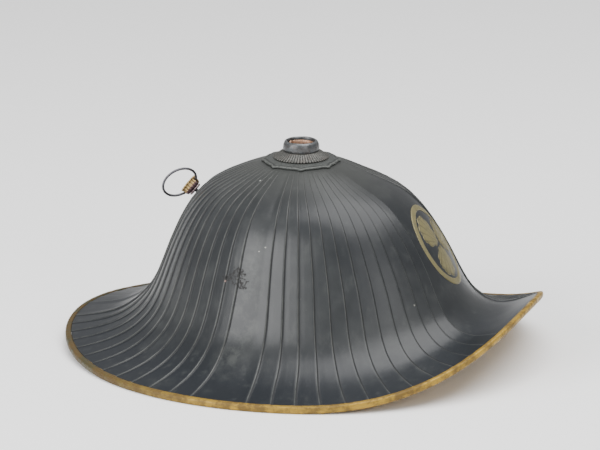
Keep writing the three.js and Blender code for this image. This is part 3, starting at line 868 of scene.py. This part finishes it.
def on_front(side, up, height):
    """A point on the front panel: side and up in millimetres from the centre, at a height above it.

    Widths are drawn in and set to the far side, so that the roundel looks as wide as it should.
    """
    side = side * FRONT_VIEW_WIDTH + ROUNDEL_SIDE
    station = slid_station(round(-up, 3))
    reach = HOLE + (SHELL_SIDE - HOLE) * station_value("side", round(station, 6))
    angle = math.asin(max(-1.0, min(1.0, side / reach)))
    return placed(skin_point(angle, station) + skin_normal(angle, station) * height)


print("roundel centre at station", round(centre_station, 2))

# %% Build the roundel
BAND_COLUMNS = 240
leaf_gold = Finish("leaf_gold")
fleck = leaf_gold.band(leaf_gold.noise(650, 4.0, 0.7), 0.45, 0.68)
patchy = leaf_gold.band(leaf_gold.noise(160, 4.0, 0.6), 0.4, 0.7)
leaf_tone = leaf_gold.mix(patchy * 0.6, (0.18, 0.155, 0.066), (0.115, 0.105, 0.058))
leaf_tone = leaf_gold.mix(fleck * 0.35, leaf_tone, (0.10, 0.09, 0.06))
leaf_tone = leaf_gold.mix(leaf_gold.value("vein") * 0.85, leaf_tone, (0.045, 0.04, 0.028))
leaf_gold_finish = leaf_gold.shade(
    Base_Color=leaf_tone, Metallic=0.35, Roughness=0.42 + patchy * 0.15,
    Normal=leaf_gold.bump(leaf_gold.noise(800, 3.0), 0.2, 0.0003))

BAND_SECTION = ((29.4, -0.35), (29.4, 0.1), (29.7, 0.3), (30.8, 0.38), (33.2, 0.38), (34.2, 0.3),
                (34.5, 0.1), (34.5, -0.35))


def band_vertex(column, row):
    angle = 2 * math.pi * column / BAND_COLUMNS
    radius, height = BAND_SECTION[row]
    uneven = 1 + 0.006 * around_noise(angle, 3, 5)
    point = on_front(radius * uneven * math.cos(angle), radius * uneven * math.sin(angle), height)
    return point, {"vein": 0.0}


make_piece("roundel_band", wrapped_sheet(BAND_COLUMNS, len(BAND_SECTION), band_vertex, ("vein",)),
           (leaf_gold_finish,), "helmet", None, sharp=80)

# %% Build the three leaves
LEAF_COLUMNS, LEAF_ROWS, LEAF_UNDER_ROWS = 144, 22, 4
LEAF_CENTRE, LEAF_LENGTH, LEAF_BREADTH, LEAF_TURNS = 14.6, 12.9, 14.0, (250, 10, 130)
LEAF_RISE, LEAF_ROOT, VEIN_DEPTH, VEINS = 0.5, -0.35, 0.12, 11.0


def leaf_outline(angle):
    """A broad leaf with scalloped sides, wider at its shoulders and drawn in at its stem."""
    scallop = 1 + 0.12 * abs(math.sin(4.5 * angle)) - 0.08
    shoulder = 1 + 0.26 * math.cos(angle) - 0.16 * max(0.0, -math.cos(angle)) ** 3
    return Vector((LEAF_LENGTH * math.cos(angle), LEAF_BREADTH * shoulder * math.sin(angle))) * scallop


def leaf_shape(turn):
    bearing = Matrix.Rotation(math.radians(turn), 2)

    def leaf_vertex(column, row):
        angle = 2 * math.pi * column / LEAF_COLUMNS
        top = row <= LEAF_ROWS
        share = row / LEAF_ROWS if top else 1 - (row - LEAF_ROWS - 1) / LEAF_UNDER_ROWS
        local = leaf_outline(angle) * min(1.0, share)
        stem = Vector((local.x + LEAF_LENGTH * 1.15, local.y))
        fan = math.atan2(stem.y, stem.x)
        vein = max(0.0, 1 - abs(math.sin(fan * VEINS)) * 2.3) * (0.55 + 0.45 * share)
        rim = max(0.0, 1 - abs(share - 0.9) * 22)
        height = LEAF_RISE * (1 - share ** 6) - VEIN_DEPTH * vein if top else LEAF_ROOT
        place = bearing @ Vector((local.x + LEAF_CENTRE, local.y))
        return on_front(place.x, place.y, height), {"vein": max(vein, rim) if top else 0.0}

    return wrapped_sheet(LEAF_COLUMNS, LEAF_ROWS + LEAF_UNDER_ROWS + 2, leaf_vertex, ("vein",))


for number, turn in enumerate(LEAF_TURNS, 1):
    make_piece(f"roundel_leaf_{number}", leaf_shape(turn), (leaf_gold_finish,), "helmet", None,
               sharp=80)

# %% [markdown]
# Floor, light and camera
# The floor is a plain pale sheet. A large soft light hangs over the hat, two softboxes stand to the
# left and right of the camera, and the surroundings are a soft white. The camera looks a little down
# on the hat's right front side from far away, so the lines of the crown stay nearly parallel.

# %% Build the floor
floor_finish = Finish("floor")
floor_white = floor_finish.shade(Base_Color=(0.93, 0.93, 0.93), Roughness=0.75)
bm = bmesh.new()
bmesh.ops.create_grid(bm, x_segments=1, y_segments=1, size=9.0)
floor_mesh = bpy.data.meshes.new("floor")
bm.to_mesh(floor_mesh)
bm.free()
floor_mesh.materials.append(floor_white)
floor = bpy.data.objects.new("floor", floor_mesh)
bpy.context.collection.objects.link(floor)
print("floor laid")


# %% Hang the lights
def soft_light(name, place, width, height, watts):
    lamp = bpy.data.lights.new(name, "AREA")
    lamp.shape, lamp.size, lamp.size_y, lamp.energy = "RECTANGLE", width, height, watts
    holder = bpy.data.objects.new(name, lamp)
    holder.location = place
    holder.rotation_euler = (LIT_PLACE - Vector(place)).to_track_quat("-Z", "Y").to_euler()
    bpy.context.collection.objects.link(holder)


LIT_PLACE = Vector((0, 0, 0.08))
soft_light("top_light", (0.55, -0.1, 2.2), 2.2, 2.2, 95)
soft_light("left_light", (-1.08, -1.7, 0.98), 1.6, 1.25, 56)
soft_light("right_light", (1.54, -1.29, 0.9), 0.9, 0.8, 9)
world = bpy.data.worlds.new("tent")
world.use_nodes = True
background = world.node_tree.nodes["Background"]
background.inputs["Color"].default_value = (1.0, 1.0, 1.0, 1.0)
background.inputs["Strength"].default_value = 0.5
bpy.context.scene.world = world

# %% Set the camera
TURN, TILT, AWAY = math.radians(19.0), math.radians(15.88), 3.0
aim = Vector((-0.0019, 0.0, 0.0948))
toward = Vector((math.sin(TURN) * math.cos(TILT), -math.cos(TURN) * math.cos(TILT), math.sin(TILT)))
eye = bpy.data.cameras.new("camera")
eye.lens, eye.sensor_width = 235.0, 36.0
camera = bpy.data.objects.new("camera", eye)
camera.location = aim + toward * AWAY
camera.rotation_euler = (-toward).to_track_quat("-Z", "Y").to_euler()
bpy.context.collection.objects.link(camera)
bpy.context.scene.camera = camera
print("camera at", [round(c, 3) for c in camera.location])
